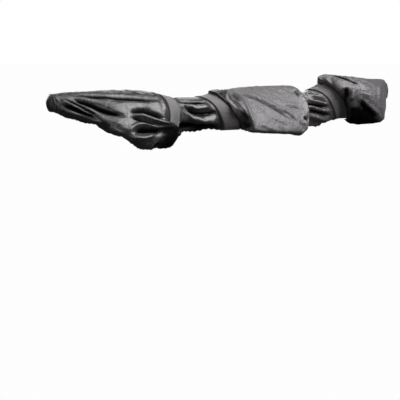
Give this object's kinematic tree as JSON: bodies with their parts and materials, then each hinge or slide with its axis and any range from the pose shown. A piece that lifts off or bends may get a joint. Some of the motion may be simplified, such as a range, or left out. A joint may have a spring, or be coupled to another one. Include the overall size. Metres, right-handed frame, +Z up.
{
  "type": "bicycle handlebar cover",
  "caption": "Fitted black nylon weather cover for a bicycle handlebar, gathered by an elastic hem and held to the bar by webbing straps.",
  "frame": {"origin": "on the underside of the cloth at the middle of the hood's top, where the stem and bar hold it up", "axes": "+X along the bar to the side with the higher bag, -Y to the front, +Z up"},
  "size_m": [0.7696, 0.1429, 0.1099],
  "materials": {
    "coated_nylon": "coated, wrinkled, semi-gloss",
    "strap_webbing": "woven webbing, matte"
  },
  "bodies": {
    "root": {"cloth_sleeve": "coated_nylon", "cloth_neck": "coated_nylon", "cloth_hood": "coated_nylon", "cloth_bag": "coated_nylon", "end_panel_left": "coated_nylon", "end_panel_right": "coated_nylon", "strap_left": "strap_webbing", "strap_middle": "strap_webbing", "strap_right": "strap_webbing"}
  },
  "joints": []
}
